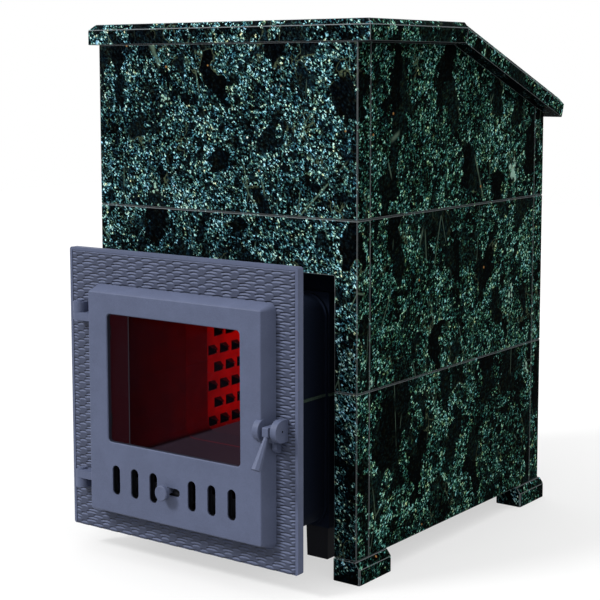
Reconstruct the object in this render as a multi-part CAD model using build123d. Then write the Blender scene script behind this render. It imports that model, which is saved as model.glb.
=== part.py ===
from build123d import *
import math
import os

# Sauna stove: a cast-iron firebox with a fuel duct and a glazed door, inside a stone
# cladding on four feet. Millimetres, +Z up, door towards -Y. While it is drawn, Y = 0 is
# the cladding's front face and Z = 0 is the floor; the finished nodes are then moved along
# Y so that the origin lies under the middle of the whole stove.

# Stone cladding
stone_width = 620
stone_depth = 710
slab_thickness = 40
lower_course_height = 309
middle_course_height = 313
upper_course_height = 316
slab_arris = 1.5
pillar_width = 50
front_opening_top = 562

# Stone feet
foot_height = 42
foot_length = 107
foot_side_overhang = 10
foot_front_overhang = 4
foot_rear_overhang = 9.5
foot_inset_width = 49
foot_bevel_height = 13
foot_arris = 2

# Stone cap: a flat front slab and a sloping rear slab
cap_thickness = 40
cap_side_overhang = 27
cap_front_overhang = 2
cap_rear_overhang = 31
cap_bevel = 11
slope_start = 328
slope_angle = 20.1

# Steel angles in the inner corners, with their screws
angle_leg = 30
angle_thickness = 3
angle_top_gap = 12
angle_screw_head = 5.5
angle_screw_head_height = 3

# Frame plate of the door
plate_width = 546
plate_bottom = 44
plate_height = 548
plate_thickness = 16
plate_front_reach = 128
plate_corner_radius = 5
rim_width = 6
field_recess = 2.5
opening_half_width = 180
opening_bottom = 104
opening_top = 498
collar_length = 54

# Fuel duct
duct_half_width = 199
duct_bottom = 76
duct_top = 513
duct_corner_radius = 40
duct_wall = 12
duct_floor_wall = 14
shelf_top = 180
shelf_thickness = 10
shelf_corner_radius = 22
duct_rim_width = 4
duct_rim_thickness = 6
spigot_length = 48
spigot_wall = 5.7
spigot_clearance = 0.3
runner_x = 125
runner_width = 10
runner_height = 15

# Firebox castings
firebox_half_width = 205
firebox_front = 64
firebox_depth = 536
firebox_bottom = 70
firebox_top = 760
firebox_wall = 12
front_ledge_top = 520
front_setback = 14
mouth_length = 71
casting_joint = 327
cord_width = 5
cord_depth = 5
cord_proud = 2
fin_height = 18
fin_thickness = 9
fin_count = 7
fin_pitch = 72
fin_end_gap = 25

# Heat studs on the firebox walls
stud_base = 21
stud_tip = 5
stud_length = 17
stud_pitch_y = 38.7
stud_pitch_z = 38
stud_first_y = 202
stud_first_z = 195.5
stud_lower_rows = 4
stud_upper_rows = 5
stud_columns = 10

# Hearth, grate and ash drawer
hearth_thickness = 10
hearth_flank_width = 42
hearth_flank_height = 13
hearth_ledge = 13
hearth_clearance = 0.5
hearth_drop = 5
grate_width = 190
grate_length = 220
grate_thickness = 10
grate_seat = 10
grate_front_gap = 66
grate_bars = 9
grate_bar_width = 10
drawer_half_width = 150
drawer_length = 500
drawer_height = 47
drawer_wall = 2
drawer_front_gap = 20
drawer_pull_width = 60
drawer_pull_reach = 14
drawer_pull_thickness = 4

# Crown plate, smoke baffle and flue collar
crown_thickness = 14
crown_bolt_head = 6.5
crown_bolt_head_height = 5
crown_bolt_inset = 6
baffle_thickness = 8
baffle_height = 600
baffle_front_gap = 72
baffle_length = 180
baffle_lug = 10
baffle_clearance = 0.5
flue_y = 178
flue_radius = 60.5
flue_wall = 8
flue_socket_depth = 66
flue_base_height = 20
flue_flange_radius = 88
flue_flange_thickness = 8
flue_stop_width = 4.5
cap_flue_radius = 80

# Closed heater for the stones, and its steam shaft
heater_centre_y = 480
heater_top_width = 288
heater_top_length = 200
heater_bottom_width = 240
heater_bottom_length = 150
heater_bottom = 511
heater_wall = 8
heater_flange_width = 14
heater_flange_thickness = 8
heater_clearance = 2
shaft_width = 300
shaft_length = 204
shaft_wall = 4

# Steam hatch in the sloping slab, laid out along the slope
hatch_opening_width = 250
hatch_opening_length = 170
hatch_opening_start = 88
hatch_frame_width = 18
hatch_frame_thickness = 6
hatch_skirt_wall = 5
hatch_skirt_clearance = 0.5
hatch_skirt_depth = 38
hatch_lid_thickness = 8
hatch_lid_margin = 8
hatch_lid_gap = 0.3
hatch_barrel_radius = 8
hatch_barrel_start = 68
hatch_hinge_x = 90
hatch_knuckle_length = 24
hatch_ear_length = 12
hatch_pin_radius = 4
pin_clearance = 0.06
hinge_gap = 0.3
hatch_knob_radius = 19
hatch_knob_height = 26
hatch_knob_stem_radius = 7
hatch_knob_stem_length = 16
hatch_knob_offset = 44
hatch_knob_bevel = 3
hatch_rib_height = 3
hatch_screw_head = 4.5
hatch_screw_head_height = 3
hatch_screw_inset = 13

# Cast legs under the firebox
leg_width = 48
leg_depth = 40
leg_front_gap = 22.5
leg_inner_x = 138
leg_taper = 3

# Door casting
door_centre_x = 10
door_width = 432
door_bottom = 84
door_height = 442
door_depth = 31.6
door_gap = 0.4
door_draft = 10.5
door_corner_radius = 14
door_edge_radius = 3
door_wall = 20
door_front_wall = 10
door_cavity_radius = 8
window_width = 318
window_bottom = 231
window_height = 245
window_radius = 8
window_bevel = 1.5

# Air slots and slider
slot_width = 19
slot_height = 57
slot_centre_z = 159
slot_pitch = 46.5
slots_each_side = 3
knob_slot_height = 15
slider_thickness = 4
slider_margin = 5
slider_end_margin = 26
slider_gap = 0.3
guide_width = 10
guide_lip = 4
guide_lip_thickness = 3
guide_end_margin = 12
guide_screw_head = 4
guide_screw_head_height = 2
stem_radius = 6
stem_end_gap = 0.5
knob_radius = 14.5
knob_thickness = 9
knob_reach = 20
knob_bevel = 1.5

# Glass, its tape, clips and the rope seal
glass_margin = 14
glass_thickness = 4
tape_thickness = 2
tape_width = 10
clip_length = 26
clip_width = 22
clip_thickness = 3
clip_overlap = 8
clip_boss_size = 12
clip_screw_head = 4.5
clip_screw_head_height = 2.5
clip_spread = 84
seal_width = 10
seal_depth = 7
seal_relief = 0.1

# Door hinge, lift-off knuckles on a vertical axis
hinge_x = -235
hinge_barrel_radius = 13.5
hinge_pin_radius = 5
hinge_pin_head_radius = 7.5
hinge_pin_head_height = 3
knuckle_height = 19
arm_height = 15
lower_knuckle_bottom = 127
upper_knuckle_bottom = 471
arm_barrel_radius = 13

# Latch: two cheeks on the door, a tapered lever between them, a keeper on the plate
cheek_radius = 20
cheek_thickness = 13
cheek_gap = 21
cheek_left_x = 205
cheek_reach = 5
cheek_bevel = 1.5
latch_z = 304
latch_pin_radius = 3
latch_pin_inset = 2
web_thickness = 6
web_height = 32
lever_hub_radius = 9
lever_width = 12.5
lever_side_gap = 2
lever_block_reach = 23
lever_block_height = 17
lever_length = 66
lever_tilt = 29.5
lever_neck_size = 7
lever_tip_size = 17
nose_height = 22
nose_thickness = 7
keeper_height = 24
keeper_top_gap = 18
keeper_reach = 14
keeper_side_gap = 1
keeper_bevel = 6
keeper_gap = 0.5

# Places that follow from the sizes above
half_stone = stone_width / 2
inner_half = half_stone - slab_thickness
rear_inner = stone_depth - slab_thickness
lower_joint = foot_height + lower_course_height
upper_joint = lower_joint + middle_course_height
cap_underside = upper_joint + upper_course_height
total_height = cap_underside + cap_thickness
slope = math.radians(slope_angle)
slope_plane = Plane(
    origin=(0, slope_start, cap_underside),
    x_dir=(1, 0, 0),
    z_dir=(0, math.sin(slope), math.cos(slope)),
)
slope_length = (stone_depth + cap_rear_overhang - slope_start) / math.cos(slope)
half_cap = half_stone + cap_side_overhang

plate_front = -plate_front_reach
plate_back = plate_front + plate_thickness
field_front = plate_front + field_recess
half_plate = plate_width / 2
plate_top = plate_bottom + plate_height
collar_end = plate_back + collar_length

duct_inner_half = duct_half_width - duct_wall
duct_inner_radius = duct_corner_radius - duct_wall
passage_top = duct_top - duct_floor_wall
channel_bottom = duct_bottom + duct_floor_wall
channel_top = shelf_top - shelf_thickness
duct_rim_front = firebox_front - duct_rim_thickness
mouth_start = firebox_front + spigot_length
chamber_front = mouth_start + mouth_length
firebox_rear = firebox_front + firebox_depth
chamber_rear = firebox_rear - firebox_wall
chamber_half = firebox_half_width - firebox_wall
upper_front = firebox_front + front_setback
hearth_bottom = channel_top - hearth_thickness - hearth_drop
hearth_top = hearth_bottom + hearth_thickness
runner_top = channel_bottom + runner_height
crown_top = firebox_top + crown_thickness
heater_flange_top = crown_top + heater_flange_thickness

door_back = plate_front - door_gap
door_face = door_back - door_depth
door_left = door_centre_x - door_width / 2
door_right = door_centre_x + door_width / 2
door_top = door_bottom + door_height
window_top = window_bottom + window_height
inner_face = door_face + door_front_wall
slider_front = inner_face + slider_gap
slider_back = slider_front + slider_thickness
slider_bottom = slot_centre_z - slot_height / 2 - slider_margin
slider_top = slot_centre_z + slot_height / 2 + slider_margin
slider_travel = slot_pitch / 2
knob_slot_length = slider_travel + 2 * (stem_radius + stem_end_gap)
knob_slot_left = door_centre_x - knob_slot_length / 2
stem_x = knob_slot_left + stem_end_gap + stem_radius
glass_front = inner_face + tape_thickness
glass_back = glass_front + glass_thickness
glass_half = window_width / 2 + glass_margin
hinge_y = plate_front - hinge_barrel_radius
cheek_right_x = cheek_left_x + cheek_thickness + cheek_gap
pivot_y = door_face - cheek_reach + cheek_radius
lever_right_x = cheek_right_x - lever_side_gap
lever_left_x = lever_right_x - lever_width


def block(x0, x1, y0, y1, z0, z1):
    """A box between two opposite corners."""
    centre = Pos((x0 + x1) / 2, (y0 + y1) / 2, (z0 + z1) / 2)
    return centre * Box(x1 - x0, y1 - y0, z1 - z0)


def rectangle(x0, x1, z0, z1, radius=0):
    """A rectangle between two corners of the drawing plane, with rounded corners."""
    place = Pos((x0 + x1) / 2, (z0 + z1) / 2)
    if radius:
        return place * RectangleRounded(x1 - x0, z1 - z0, radius)
    return place * Rectangle(x1 - x0, z1 - z0)


def prism_y(profile, y0, y1):
    """A profile drawn in X and Z, carried from y0 back to y1."""
    return Pos(0, y1, 0) * extrude(Plane.XZ * profile, amount=y1 - y0)


def prism_x(points, x0, x1):
    """An outline of (Y, Z) points, carried from x0 to x1."""
    face = make_face(Polyline(*points, close=True))
    return Pos(x0, 0, 0) * extrude(Plane.YZ * face, amount=x1 - x0)


def frustum(centre, bottom, top, z0, z1):
    """A block that tapers from one (width, depth) at z0 to another at z1."""
    across = [(-bottom[0] / 2, z0), (bottom[0] / 2, z0), (top[0] / 2, z1), (-top[0] / 2, z1)]
    along = [(-bottom[1] / 2, z0), (bottom[1] / 2, z0), (top[1] / 2, z1), (-top[1] / 2, z1)]
    reach = max(bottom[0], bottom[1], top[0], top[1])
    front_view = prism_y(make_face(Polyline(*across, close=True)), -reach, reach)
    return Pos(centre[0], centre[1], 0) * (front_view & prism_x(along, -reach, reach))


def rod(start, direction, radius, length):
    """A round bar that starts at a point and runs along a direction."""
    plane = Plane(origin=start, z_dir=direction)
    return extrude(plane * Circle(radius), amount=length)


def hex_head(place, direction, size, height):
    """A hexagon screw head that stands on a face."""
    return extrude(Plane(origin=place, z_dir=direction) * RegularPolygon(size, 6), amount=height)


def ring(outer, inner, y0, y1):
    """The band between two profiles, carried from y0 back to y1."""
    return prism_y(outer - inner, y0, y1)


def dressed(stone, size=slab_arris):
    """A stone with a small arris ground along each of its edges."""
    return chamfer(stone.edges(), size)


def slope_underside(y):
    """Height of the sloping slab's underside at a distance from the front."""
    return cap_underside - (y - slope_start) * math.tan(slope)


def on_slope(shape):
    """Move a shape drawn in the sloping slab's own frame to its place."""
    return slope_plane.location * shape


# Stone courses
def corner_screw_places(side):
    """Centres of the screw heads on the corner angles, on the given side."""
    y_places = (slab_thickness + angle_leg / 2, rear_inner - angle_leg / 2)
    z_places = (
        foot_height + lower_course_height / 2,
        lower_joint + middle_course_height / 2,
        upper_joint + upper_course_height / 4,
    )
    return [(side * (inner_half - angle_thickness), y, z) for y in y_places for z in z_places]


def side_slab(side, z0, z1):
    """A side slab between the front and rear slabs; the top one is cut to the slope."""
    outline = [(slab_thickness, z0), (rear_inner, z0)]
    if z1 > slope_underside(rear_inner):
        outline += [(rear_inner, slope_underside(rear_inner)), (slope_start, z1)]
    else:
        outline += [(rear_inner, z1)]
    outline += [(slab_thickness, z1)]
    x0, x1 = sorted((side * inner_half, side * half_stone))
    return dressed(prism_x(outline, x0, x1))


def rear_slab(z0, z1):
    """A full-width slab at the rear; the top one is cut to the slope."""
    outline = [(rear_inner, z0), (stone_depth, z0)]
    if z1 > slope_underside(rear_inner):
        outline += [(stone_depth, slope_underside(stone_depth))]
        outline += [(rear_inner, slope_underside(rear_inner))]
    else:
        outline += [(stone_depth, z1), (rear_inner, z1)]
    return dressed(prism_x(outline, -half_stone, half_stone))


def pillar(side):
    """A narrow slab beside the fuel duct, in the lowest course."""
    x0, x1 = sorted((side * (half_stone - pillar_width), side * half_stone))
    return dressed(block(x0, x1, 0, slab_thickness, foot_height, lower_joint))


def lintel_slab():
    """The middle front slab, cut out over the fuel duct."""
    inner = half_stone - pillar_width
    slab = block(-half_stone, half_stone, 0, slab_thickness, lower_joint, upper_joint)
    slab -= block(-inner, inner, -1, slab_thickness + 1, lower_joint - 1, front_opening_top)
    return dressed(slab)


def stone_foot(side, front):
    """A foot with a bevelled outer top edge that shows beside the cladding."""
    outer = half_stone + foot_side_overhang
    inner = half_stone - foot_inset_width
    bevel_start = foot_height - foot_bevel_height
    points = [(inner, 0), (outer, 0), (outer, bevel_start), (half_stone, foot_height), (inner, foot_height)]
    face = make_face(Polyline(*[(side * x, z) for x, z in points], close=True))
    y0 = -foot_front_overhang if front else stone_depth + foot_rear_overhang - foot_length
    foot = prism_y(face, y0, y0 + foot_length)
    return chamfer(foot.edges().filter_by(Axis.Z), foot_arris)


def corner_angles():
    """Four steel angles that tie the courses together, with their screw heads."""
    bars = []
    narrow = pillar_width - slab_thickness
    for side in (-1, 1):
        for front in (True, False):
            wall = slab_thickness if front else rear_inner
            inward = 1 if front else -1
            top = cap_underside if front else slope_underside(rear_inner - angle_leg)
            xs = sorted((side * inner_half, side * (inner_half - angle_thickness)))
            ys = sorted((wall, wall + inward * angle_leg))
            long_leg = block(*xs, *ys, foot_height, top - angle_top_gap)
            xs = sorted((side * inner_half, side * (inner_half - narrow)))
            ys = sorted((wall, wall + inward * angle_thickness))
            short_leg = block(*xs, *ys, foot_height, top - angle_top_gap)
            bar = long_leg + short_leg
            for place in corner_screw_places(side):
                if ys[0] < place[1] < ys[0] + angle_leg:
                    bar += hex_head(place, (-side, 0, 0), angle_screw_head, angle_screw_head_height)
            bars.append(bar)
    return bars


# Stone cap
def cap_flat():
    """The flat slab of the cap, cut square to the slope behind and bored for the flue."""
    ridge = slope_start + cap_thickness * math.tan(slope)
    points = [
        (-cap_front_overhang, cap_underside),
        (slope_start, cap_underside),
        (ridge, total_height),
        (-cap_front_overhang, total_height),
    ]
    slab = prism_x(points, -half_cap, half_cap)
    top_edges = slab.faces().sort_by(Axis.Z)[-1].edges().sort_by(Axis.Y)[:-1]
    slab = chamfer(top_edges, cap_bevel)
    hole = rod((0, flue_y, cap_underside - 1), (0, 0, 1), cap_flue_radius, cap_thickness + 2)
    return slab - hole


def hatch_hole(margin, z0, z1):
    """The hatch opening along the slope, grown by a margin."""
    half = hatch_opening_width / 2 + margin
    start = hatch_opening_start - margin
    end = hatch_opening_start + hatch_opening_length + margin
    return block(-half, half, start, end, z0, z1)


def hatch_screw_places():
    """Corner places of the screw heads on the hatch frame."""
    half = hatch_opening_width / 2 + hatch_screw_inset
    start = hatch_opening_start - hatch_screw_inset
    end = hatch_opening_start + hatch_opening_length + hatch_screw_inset
    return [(x, y) for x in (-half, half) for y in (start, end)]


def cap_slope():
    """The sloping slab of the cap, with the hatch opening."""
    slab = block(-half_cap, half_cap, 0, slope_length, 0, cap_thickness)
    top_edges = slab.faces().sort_by(Axis.Z)[-1].edges().sort_by(Axis.Y)[1:]
    slab = chamfer(top_edges, cap_bevel)
    return on_slope(slab - hatch_hole(0, -1, cap_thickness + 1))


# Steam hatch
def hatch_axis_height():
    """Height of the hatch hinge axis over the slab's underside."""
    return cap_thickness + hatch_frame_thickness + hatch_lid_gap + hatch_barrel_radius


def hatch_barrel(x0, x1, radius=hatch_barrel_radius):
    """A round length of the hatch hinge between two places across the stove."""
    return rod((x0, hatch_barrel_start, hatch_axis_height()), (1, 0, 0), radius, x1 - x0)


def hatch_frame():
    """A cast frame over the slab's edge, with a skirt, hinge ears and screw heads."""
    top = cap_thickness + hatch_frame_thickness
    half = hatch_opening_width / 2 + hatch_frame_width
    start = hatch_barrel_start - hatch_barrel_radius
    end = hatch_opening_start + hatch_opening_length + hatch_frame_width
    frame = block(-half, half, start, end, cap_thickness, top)
    frame += hatch_hole(-hatch_skirt_clearance, cap_thickness - hatch_skirt_depth, cap_thickness)
    frame -= hatch_hole(-hatch_skirt_clearance - hatch_skirt_wall, -1, top + 1)
    hole_radius = hatch_pin_radius + pin_clearance
    for side in (-1, 1):
        for offset in (-1, 1):
            centre = side * hatch_hinge_x + offset * (hatch_knuckle_length + hatch_ear_length) / 2
            x0 = centre - hatch_ear_length / 2
            x1 = centre + hatch_ear_length / 2
            foot = block(x0, x1, start, hatch_barrel_start + hatch_barrel_radius, top, hatch_axis_height())
            frame += foot + hatch_barrel(x0, x1)
    frame -= hatch_barrel(-half, half, hole_radius)
    for x, y in hatch_screw_places():
        frame += hex_head((x, y, top), (0, 0, 1), hatch_screw_head, hatch_screw_head_height)
    return on_slope(frame)


def hatch_lid():
    """A cast lid with a raised border and two hinge knuckles."""
    bottom = cap_thickness + hatch_frame_thickness + hatch_lid_gap
    top = bottom + hatch_lid_thickness
    grown = hatch_hole(hatch_lid_margin, bottom, top)
    lid = chamfer(grown.faces().sort_by(Axis.Z)[-1].edges(), 2)
    border = hatch_hole(0, top, top + hatch_rib_height)
    border -= hatch_hole(-hatch_lid_margin, top - 1, top + hatch_rib_height + 1)
    lid += border
    reach = hatch_opening_start - hatch_lid_margin + 2
    for side in (-1, 1):
        centre = side * hatch_hinge_x
        x0 = centre - hatch_knuckle_length / 2 + hinge_gap
        x1 = centre + hatch_knuckle_length / 2 - hinge_gap
        lid += hatch_barrel(x0, x1) + block(x0, x1, hatch_barrel_start, reach, bottom, top)
        lid -= hatch_barrel(x0 - 1, x1 + 1, hatch_pin_radius + pin_clearance)
    return on_slope(lid)


def hatch_pins():
    """The two hinge pins of the hatch."""
    half = hatch_knuckle_length / 2 + hatch_ear_length
    return [
        on_slope(hatch_barrel(side * hatch_hinge_x - half, side * hatch_hinge_x + half, hatch_pin_radius))
        for side in (-1, 1)
    ]


def hatch_knob():
    """A turned knob on a stem, near the lid's lower edge."""
    bottom = cap_thickness + hatch_frame_thickness + hatch_lid_gap + hatch_lid_thickness
    y = hatch_opening_start + hatch_opening_length - hatch_knob_offset
    stem_top = bottom + hatch_knob_stem_length
    stem = rod((0, y, bottom), (0, 0, 1), hatch_knob_stem_radius, hatch_knob_stem_length)
    knob = rod((0, y, stem_top), (0, 0, 1), hatch_knob_radius, hatch_knob_height)
    return on_slope(stem + chamfer(knob.faces().sort_by(Axis.Z)[-1].edges(), hatch_knob_bevel))


# Door frame plate and fuel duct
def passage_profile():
    """The two openings of the duct: the fuel passage, and the ash channel below it."""
    half = duct_inner_half
    passage = rectangle(-half, half, shelf_top, passage_top, shelf_corner_radius)
    channel = rectangle(-half, half, channel_bottom, channel_top, shelf_corner_radius)
    for side in (-1, 1):
        x0 = side * runner_x - runner_width / 2
        channel -= rectangle(x0, x0 + runner_width, channel_bottom, runner_top)
    return passage + channel


def duct_profile(margin=0):
    """The duct's outer outline, grown by a margin."""
    return rectangle(
        -duct_half_width - margin,
        duct_half_width + margin,
        duct_bottom - margin,
        duct_top + margin,
        duct_corner_radius + margin,
    )


def keeper():
    """The catch on the plate that the latch lever's nose bears on."""
    top = latch_z - keeper_top_gap
    points = [
        (field_front, top - keeper_height),
        (field_front, top),
        (plate_front - keeper_reach, top),
        (plate_front - keeper_reach, top - keeper_height + keeper_bevel),
        (plate_front - keeper_reach + keeper_bevel, top - keeper_height),
    ]
    return prism_x(points, door_right + keeper_side_gap, lever_right_x)


def frame_plate():
    """The plate round the door: a rim on three sides, sunk field, seat, knuckles, collar."""
    outline = rectangle(-half_plate, half_plate, plate_bottom, plate_top, plate_corner_radius)
    field = rectangle(
        -half_plate + rim_width,
        half_plate - rim_width,
        plate_bottom,
        plate_top - rim_width,
    )
    seat = rectangle(
        door_left + seal_width / 2,
        door_right - seal_width / 2,
        door_bottom + seal_width / 2,
        door_top - seal_width / 2,
        door_corner_radius,
    )
    plate = prism_y(outline, plate_front, plate_back)
    plate -= prism_y(field - seat, plate_front, field_front)
    plate += prism_y(duct_profile(), plate_back, collar_end)
    plate -= prism_y(passage_profile(), plate_back, collar_end)
    opening = rectangle(
        -opening_half_width, opening_half_width, opening_bottom, opening_top, duct_inner_radius
    )
    plate -= prism_y(opening, plate_front, plate_back)
    for z in (lower_knuckle_bottom, upper_knuckle_bottom):
        barrel = rod((hinge_x, hinge_y, z), (0, 0, 1), hinge_barrel_radius, knuckle_height)
        x0 = hinge_x - hinge_barrel_radius
        x1 = hinge_x + hinge_barrel_radius
        plate += barrel + block(x0, x1, hinge_y, field_front, z, z + knuckle_height)
        hole_radius = hinge_pin_radius + pin_clearance
        plate -= rod((hinge_x, hinge_y, z - 1), (0, 0, 1), hole_radius, knuckle_height + 2)
    return plate + keeper()


def duct_casting():
    """The fuel duct: rounded tube, rim at the firebox, and a spigot inside its mouth."""
    duct = prism_y(duct_profile(), collar_end, duct_rim_front)
    duct += prism_y(duct_profile(duct_rim_width), duct_rim_front, firebox_front)
    duct += prism_y(duct_profile(spigot_wall - duct_wall), firebox_front, mouth_start)
    return duct - prism_y(passage_profile(), collar_end, mouth_start)


def firebox_casting():
    """The firebox: mouth, chamber, ash channel and outer fins, before it is parted."""
    half = firebox_half_width
    box = block(-half, half, firebox_front, firebox_rear, firebox_bottom, front_ledge_top)
    box += block(-half, half, upper_front, firebox_rear, front_ledge_top, firebox_top)
    box += firebox_fins()
    mouth = duct_profile(spigot_wall - duct_wall + spigot_clearance)
    box -= prism_y(mouth, firebox_front, mouth_start)
    box -= prism_y(passage_profile(), mouth_start, chamber_front)
    box -= block(-chamber_half, chamber_half, chamber_front, chamber_rear, hearth_bottom, firebox_top)
    upper_inner = upper_front + firebox_wall
    box -= block(-chamber_half, chamber_half, upper_inner, chamber_front, front_ledge_top, firebox_top)
    ash_half = chamber_half - hearth_ledge
    box -= block(-ash_half, ash_half, chamber_front, chamber_rear, channel_bottom, hearth_bottom)
    for side in (-1, 1):
        x0 = side * runner_x - runner_width / 2
        end = drawer_rear()
        box += block(x0, x0 + runner_width, chamber_front, end, channel_bottom, runner_top)
        xs = sorted((side * chamber_half, side * (chamber_half - baffle_lug)))
        y0 = upper_inner + baffle_front_gap
        box += block(*xs, y0, y0 + baffle_length, baffle_height - baffle_lug, baffle_height)
    return box


def firebox_fins():
    """Upright fins on both sides of the firebox, in an even row."""
    fins = []
    first = (firebox_front + firebox_rear) / 2 - (fin_count - 1) / 2 * fin_pitch
    for i in range(fin_count):
        y = first + i * fin_pitch
        for side in (-1, 1):
            xs = sorted((side * firebox_half_width, side * (firebox_half_width + fin_height)))
            y1 = y + fin_thickness
            fins.append(block(*xs, y, y1, firebox_bottom + fin_end_gap, firebox_top - fin_end_gap))
    return fins


def stud():
    """One blunt four-sided heat stud, standing on the drawing plane."""
    return frustum((0, 0), (stud_base, stud_base), (stud_tip, stud_tip), 0, stud_length)


def studs(first_row, rows):
    """Staggered studs on both side walls, for a span of rows."""
    made = []
    pattern = stud()
    for row in range(first_row, first_row + rows):
        z = stud_first_z + row * stud_pitch_z
        shift = stud_pitch_y / 2 if row % 2 else 0
        for side in (-1, 1):
            for i in range(stud_columns - row % 2):
                y = stud_first_y + shift + i * stud_pitch_y
                wall = Plane(origin=(side * chamber_half, y, z), x_dir=(0, 1, 0), z_dir=(-side, 0, 0))
                made.append(wall.location * pattern)
    return made


def seam_cord():
    """The cord in the joint of the castings: round the firebox, and along the duct's sides."""
    z0 = casting_joint - cord_width / 2
    z1 = casting_joint + cord_width / 2
    half = firebox_half_width + cord_proud
    band = block(-half, half, firebox_front, firebox_rear + cord_proud, z0, z1)
    half = firebox_half_width - cord_depth
    band -= block(-half, half, firebox_front + cord_depth, firebox_rear - cord_depth, z0, z1)
    half = duct_half_width
    band -= block(-half, half, firebox_front, firebox_front + cord_depth, z0, z1)
    strips = []
    for side in (-1, 1):
        xs = sorted((side * (half - cord_depth), side * (half + cord_proud)))
        strips.append(block(*xs, collar_end, duct_rim_front, z0, z1))
    return [band] + strips


def parted(casting, above):
    """The part of a casting above or below the joint, with its half of the cord's groove."""
    reach = total_height
    z0, z1 = (casting_joint, reach) if above else (0, casting_joint)
    half = casting & block(-reach, reach, -reach, reach, z0, z1)
    return half - seam_cord()


# Hearth, grate and ash drawer
def grate_span():
    """Front and rear of the grate."""
    start = chamber_front + grate_front_gap
    return start, start + grate_length


def hearth_plate():
    """The firebox floor, with sloping flanks and a seat for the grate."""
    half = chamber_half - hearth_clearance
    flat = half - hearth_flank_width
    top = hearth_top + hearth_flank_height
    points = [(-half, hearth_bottom), (half, hearth_bottom), (half, top)]
    points += [(flat, hearth_top), (-flat, hearth_top), (-half, top)]
    face = make_face(Polyline(*points, close=True))
    plate = prism_y(face, chamber_front + hearth_clearance, chamber_rear - hearth_clearance)
    y0, y1 = grate_span()
    x = grate_width / 2
    seat_z = hearth_top - grate_thickness / 2
    gap = hearth_clearance
    plate -= block(-x - gap, x + gap, y0 - gap, y1 + gap, seat_z, hearth_top + 1)
    x -= grate_seat
    return plate - block(-x, x, y0 + grate_seat, y1 - grate_seat, hearth_bottom, hearth_top)


def grate():
    """A cast grate: a border with long bars between rows of slots."""
    y0, y1 = grate_span()
    x = grate_width / 2
    z0 = hearth_top - grate_thickness / 2
    plate = block(-x, x, y0, y1, z0, z0 + grate_thickness)
    pitch = (grate_width - 2 * grate_seat + grate_bar_width) / (grate_bars + 1)
    for i in range(grate_bars + 1):
        left = -x + grate_seat + i * pitch
        right = left + pitch - grate_bar_width
        plate -= block(left, right, y0 + grate_seat, y1 - grate_seat, z0, z0 + grate_thickness)
    return plate


def drawer_front():
    """Distance of the ash drawer's front from the cladding's front face."""
    return plate_front + drawer_front_gap


def drawer_rear():
    """Distance of the ash drawer's rear from the cladding's front face."""
    return drawer_front() + drawer_length


def ash_drawer():
    """An open sheet-steel drawer on the channel's runners, with a pull on its front."""
    half = drawer_half_width
    y0 = drawer_front()
    y1 = drawer_rear()
    z0 = runner_top
    z1 = z0 + drawer_height
    wall = drawer_wall
    drawer = block(-half, half, y0, y1, z0, z1)
    drawer -= block(-half + wall, half - wall, y0 + wall, y1 - wall, z0 + wall, z1)
    pull_half = drawer_pull_width / 2
    pull_z = z0 + drawer_height / 2
    reach = y0 - drawer_pull_reach
    drawer += block(-pull_half, pull_half, reach, y0, pull_z, pull_z + drawer_pull_thickness)
    return drawer


# Crown, baffle, flue collar and heater
def crown_bolt_places():
    """Places of the bolt heads round the crown plate."""
    x = firebox_half_width - crown_bolt_inset
    y0 = upper_front + crown_bolt_inset
    y1 = firebox_rear - crown_bolt_inset
    return [(side * x, y) for side in (-1, 1) for y in (y0, (y0 + y1) / 2, y1)] + [(0, y0)]


def crown():
    """The top plate of the firebox, with its bolt heads, flue hole and heater opening."""
    half = firebox_half_width
    plate = block(-half, half, upper_front, firebox_rear, firebox_top, crown_top)
    hole = rod((0, flue_y, firebox_top - 1), (0, 0, 1), flue_radius - flue_stop_width, crown_thickness + 2)
    x = heater_top_width / 2 + heater_clearance
    y = heater_top_length / 2 + heater_clearance
    centre = heater_centre_y
    plate -= block(-x, x, centre - y, centre + y, firebox_top - 1, crown_top + 1)
    plate -= hole
    for x, y in crown_bolt_places():
        plate += hex_head((x, y, crown_top), (0, 0, 1), crown_bolt_head, crown_bolt_head_height)
    return plate


def smoke_baffle():
    """A loose plate on lugs that turns the gases round the heater."""
    half = chamber_half - baffle_clearance
    y0 = upper_front + firebox_wall + baffle_front_gap
    return block(-half, half, y0, y0 + baffle_length, baffle_height, baffle_height + baffle_thickness)


def flue_collar():
    """A flanged socket for the flue pipe, turned about the flue's axis."""
    stop = flue_radius - flue_stop_width
    wall = flue_radius + flue_wall
    top = flue_base_height + flue_socket_depth
    points = [
        (stop, 0),
        (flue_flange_radius, 0),
        (flue_flange_radius, flue_flange_thickness),
        (wall, flue_flange_thickness),
        (wall, top),
        (flue_radius, top),
        (flue_radius, flue_base_height),
        (stop, flue_base_height),
    ]
    profile = Plane.XZ * make_face(Polyline(*points, close=True))
    return Pos(0, flue_y, crown_top) * revolve(profile, Axis.Z)


def heater_solid(inset, bottom, top):
    """The heater's body, tapered up to the crown and straight above, drawn in by an inset."""
    low = (heater_bottom_width - 2 * inset, heater_bottom_length - 2 * inset)
    high = (heater_top_width - 2 * inset, heater_top_length - 2 * inset)
    centre = (0, heater_centre_y)
    return frustum(centre, low, high, bottom, firebox_top) + frustum(centre, high, high, firebox_top, top)


def heater_chamber():
    """The closed heater that holds the stones, hung in the crown by its flange."""
    x = heater_top_width / 2 + heater_flange_width
    y = heater_top_length / 2 + heater_flange_width
    centre = heater_centre_y
    pot = heater_solid(0, heater_bottom, crown_top)
    pot += block(-x, x, centre - y, centre + y, crown_top, heater_flange_top)
    return pot - heater_solid(heater_wall, heater_bottom + heater_wall, heater_flange_top)


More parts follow.
